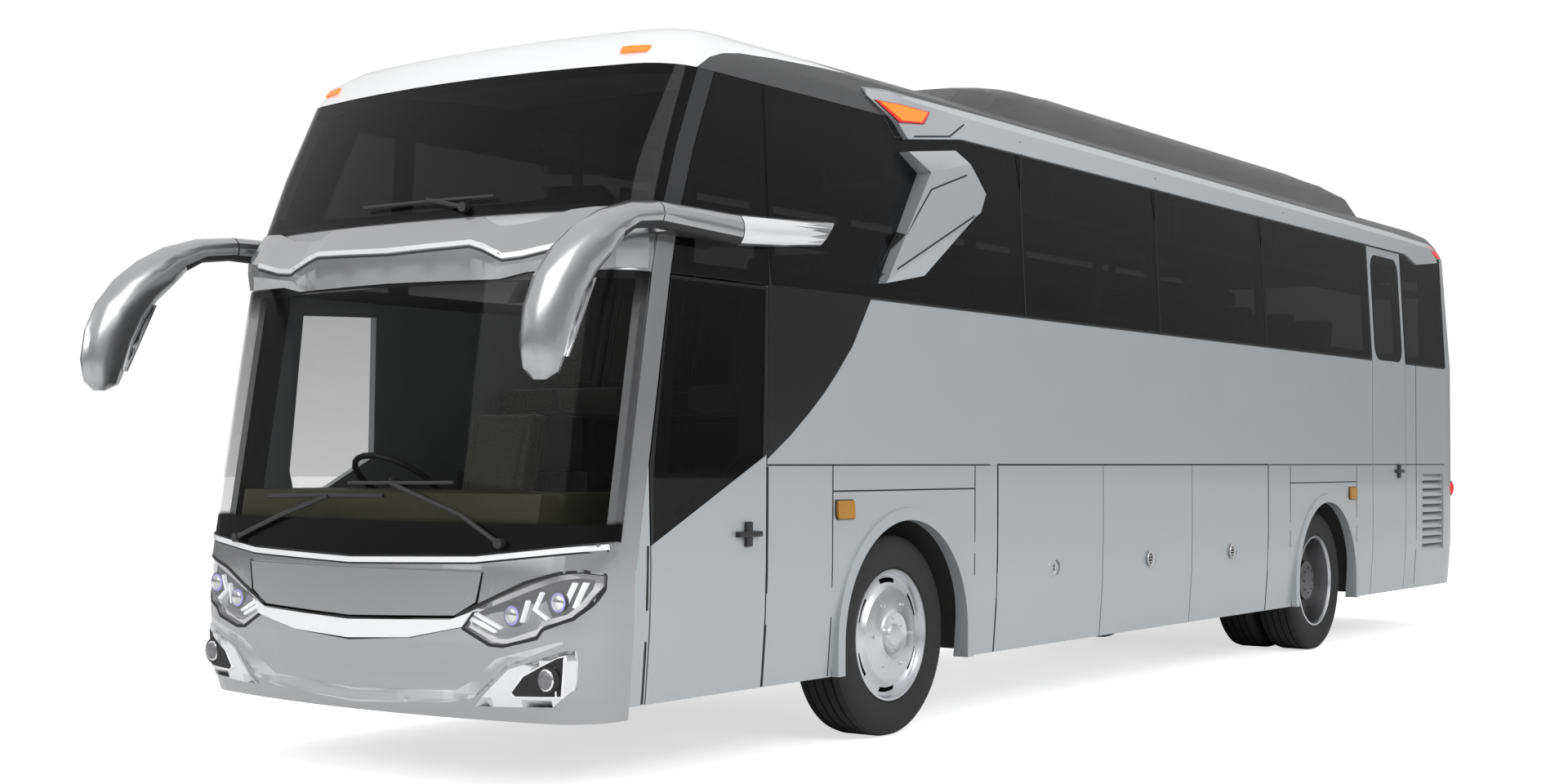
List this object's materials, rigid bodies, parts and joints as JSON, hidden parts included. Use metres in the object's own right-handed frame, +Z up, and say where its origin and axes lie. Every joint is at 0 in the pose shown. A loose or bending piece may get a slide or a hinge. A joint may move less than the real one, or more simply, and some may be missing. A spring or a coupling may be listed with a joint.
{
  "type": "coach bus",
  "caption": "Two-axle high-deck touring coach with wrap-round windscreens, flush side glass, swing-arm doors, luggage hold flaps and a roof air conditioner.",
  "frame": {"origin": "on the road under the centre of the overall box", "axes": "+X towards the nose, +Y to the vehicle's left side, +Z up"},
  "size_m": [12.4, 2.93, 3.7845],
  "materials": {
    "side_paint": "satin silver coach paint",
    "front_paint": "metallic silver paint, clear coated",
    "cap_paint": "white gloss paint",
    "roof_paint": "dark grey satin paint",
    "window_glass": "dark tinted glass",
    "lamp_lens": "clear lamp lens",
    "tail_lens": "red lamp lens",
    "amber_lens": "amber lamp lens",
    "mirror_face": "mirror glass",
    "trim_black": "black moulded plastic",
    "frame_steel": "black painted steel",
    "floor_mat": "grey floor covering on board",
    "hold_sheet": "bare aluminium sheet",
    "seat_fabric": "woven seat fabric",
    "dash_moulding": "olive soft moulding",
    "tyre_rubber": "tyre rubber",
    "rim_steel": "silver painted wheel",
    "bellows_rubber": "air spring rubber"
  },
  "bodies": {
    "body": {"ac_unit": "roof_paint", "air_springs": "bellows_rubber", "cabin_floor": "floor_mat", "chassis_frame": "frame_steel", "dashboard": "dash_moulding", "door_posts": "frame_steel", "driver_seat": "seat_fabric", "engine_block": "frame_steel", "front_axle": "frame_steel", "front_cap": "cap_paint", "front_lamps": "lamp_lens", "front_mask": "front_paint", "front_surround": "front_paint", "hold_walls": "hold_sheet", "left_side_wall": "side_paint", "left_skirt": "side_paint", "luggage_racks": "trim_black", "marker_lamps": "amber_lens", "mirror_arms": "front_paint", "mirror_glass": "mirror_face", "passenger_seats": "seat_fabric", "rear_axle": "frame_steel", "rear_mask": "side_paint", "rear_window": "window_glass", "right_side_wall": "side_paint", "right_skirt": "side_paint", "roof": "roof_paint", "roof_coves": "side_paint", "seat_frames": "frame_steel", "side_glass_left": "window_glass", "side_glass_right": "window_glass", "tail_lamps": "tail_lens", "windscreens": "window_glass", "wipers": "trim_black"},
    "steer_left": {"knuckle_left": "frame_steel"},
    "steer_right": {"knuckle_right": "frame_steel"},
    "tie_rod": {"tie_rod": "frame_steel"},
    "steering_wheel": {"steering_wheel": "trim_black"},
    "wheel_front_left": {"tyre_front_left": "tyre_rubber", "rim_front_left": "rim_steel"},
    "wheel_front_right": {"tyre_front_right": "tyre_rubber", "rim_front_right": "rim_steel"},
    "wheels_rear_left": {"tyres_rear_left": "tyre_rubber", "rims_rear_left": "rim_steel"},
    "wheels_rear_right": {"tyres_rear_right": "tyre_rubber", "rims_rear_right": "rim_steel"},
    "front_door_arm": {"front_door_arm": "frame_steel"},
    "front_door": {"front_door": "side_paint", "front_door_glass": "window_glass"},
    "rear_door_arm": {"rear_door_arm": "frame_steel"},
    "rear_door": {"rear_door": "side_paint", "rear_door_glass": "window_glass"},
    "engine_lid": {"engine_lid": "side_paint"},
    "front_flap": {"front_flap": "front_paint"},
    "luggage_door_left_1": {"luggage_door_left_1": "side_paint"},
    "luggage_door_left_2": {"luggage_door_left_2": "side_paint"},
    "luggage_door_left_3": {"luggage_door_left_3": "side_paint"},
    "luggage_door_right_1": {"luggage_door_right_1": "side_paint"},
    "luggage_door_right_2": {"luggage_door_right_2": "side_paint"},
    "luggage_door_right_3": {"luggage_door_right_3": "side_paint"}
  },
  "joints": [
    {"name": "steer_left", "type": "hinge", "parent": "body", "child": "steer_left", "pos_m": [3.13, 0.8, 0.52], "axis": [0, 0, 1], "range_deg": [-40, 40]},
    {"name": "steer_right", "type": "hinge", "parent": "body", "child": "steer_right", "pos_m": [3.13, -0.8, 0.52], "axis": [0, 0, 1], "range_deg": [-40, 40]},
    {"name": "tie_rod_swing", "type": "hinge", "parent": "steer_left", "child": "tie_rod", "pos_m": [2.95, 0.8, 0.39], "axis": [0, 0, 1], "range_deg": [-40, 40]},
    {"name": "steering_wheel_turn", "type": "hinge", "parent": "body", "child": "steering_wheel", "pos_m": [4.91, -0.62, 1.3], "axis": [-0.5736, 0, 0.8192], "range_deg": [-480, 480]},
    {"name": "spin_front_left", "type": "hinge", "parent": "steer_left", "child": "wheel_front_left", "pos_m": [3.13, 1.02, 0.52], "axis": [0, 1, 0], "continuous": true},
    {"name": "spin_front_right", "type": "hinge", "parent": "steer_right", "child": "wheel_front_right", "pos_m": [3.13, -1.02, 0.52], "axis": [0, 1, 0], "continuous": true},
    {"name": "spin_rear_left", "type": "hinge", "parent": "body", "child": "wheels_rear_left", "pos_m": [-2.87, 0.855, 0.52], "axis": [0, 1, 0], "continuous": true},
    {"name": "spin_rear_right", "type": "hinge", "parent": "body", "child": "wheels_rear_right", "pos_m": [-2.87, -0.855, 0.52], "axis": [0, 1, 0], "continuous": true},
    {"name": "front_door_swing", "type": "hinge", "parent": "body", "child": "front_door_arm", "pos_m": [5.145, 1.116, 1.05], "axis": [0, 0, -1], "range_deg": [0, 95]},
    {"name": "front_door_level", "type": "hinge", "parent": "front_door_arm", "child": "front_door", "pos_m": [4.695, 1.116, 1.05], "axis": [0, 0, -1], "range_deg": [-95, 0]},
    {"name": "rear_door_swing", "type": "hinge", "parent": "body", "child": "rear_door_arm", "pos_m": [-3.965, 1.116, 1.05], "axis": [0, 0, -1], "range_deg": [0, 95]},
    {"name": "rear_door_level", "type": "hinge", "parent": "rear_door_arm", "child": "rear_door", "pos_m": [-4.415, 1.116, 1.05], "axis": [0, 0, -1], "range_deg": [-95, 0]},
    {"name": "luggage_door_left_1_lift", "type": "hinge", "parent": "body", "child": "luggage_door_left_1", "pos_m": [1.543, 1.25, 1.395], "axis": [1, 0, 0], "range_deg": [0, 90]},
    {"name": "luggage_door_left_2_lift", "type": "hinge", "parent": "body", "child": "luggage_door_left_2", "pos_m": [0.243, 1.25, 1.395], "axis": [1, 0, 0], "range_deg": [0, 90]},
    {"name": "luggage_door_left_3_lift", "type": "hinge", "parent": "body", "child": "luggage_door_left_3", "pos_m": [-1.057, 1.25, 1.395], "axis": [1, 0, 0], "range_deg": [0, 90]},
    {"name": "luggage_door_right_1_lift", "type": "hinge", "parent": "body", "child": "luggage_door_right_1", "pos_m": [1.543, -1.25, 1.395], "axis": [-1, 0, 0], "range_deg": [0, 90]},
    {"name": "luggage_door_right_2_lift", "type": "hinge", "parent": "body", "child": "luggage_door_right_2", "pos_m": [0.243, -1.25, 1.395], "axis": [-1, 0, 0], "range_deg": [0, 90]},
    {"name": "luggage_door_right_3_lift", "type": "hinge", "parent": "body", "child": "luggage_door_right_3", "pos_m": [-1.057, -1.25, 1.395], "axis": [-1, 0, 0], "range_deg": [0, 90]},
    {"name": "engine_lid_lift", "type": "hinge", "parent": "body", "child": "engine_lid", "pos_m": [-6.2, 0, 1.86], "axis": [0, 1, 0], "range_deg": [0, 75]},
    {"name": "front_flap_lift", "type": "hinge", "parent": "body", "child": "front_flap", "pos_m": [5.8, 0, 0.94], "axis": [0, -1, 0], "range_deg": [0, 70]}
  ],
  "couplings": [
    {"joint": "steer_right", "follows": "steer_left", "ratio": 1},
    {"joint": "tie_rod_swing", "follows": "steer_left", "ratio": -1},
    {"joint": "steering_wheel_turn", "follows": "steer_left", "ratio": 12},
    {"joint": "front_door_level", "follows": "front_door_swing", "ratio": -1},
    {"joint": "rear_door_level", "follows": "rear_door_swing", "ratio": -1}
  ]
}
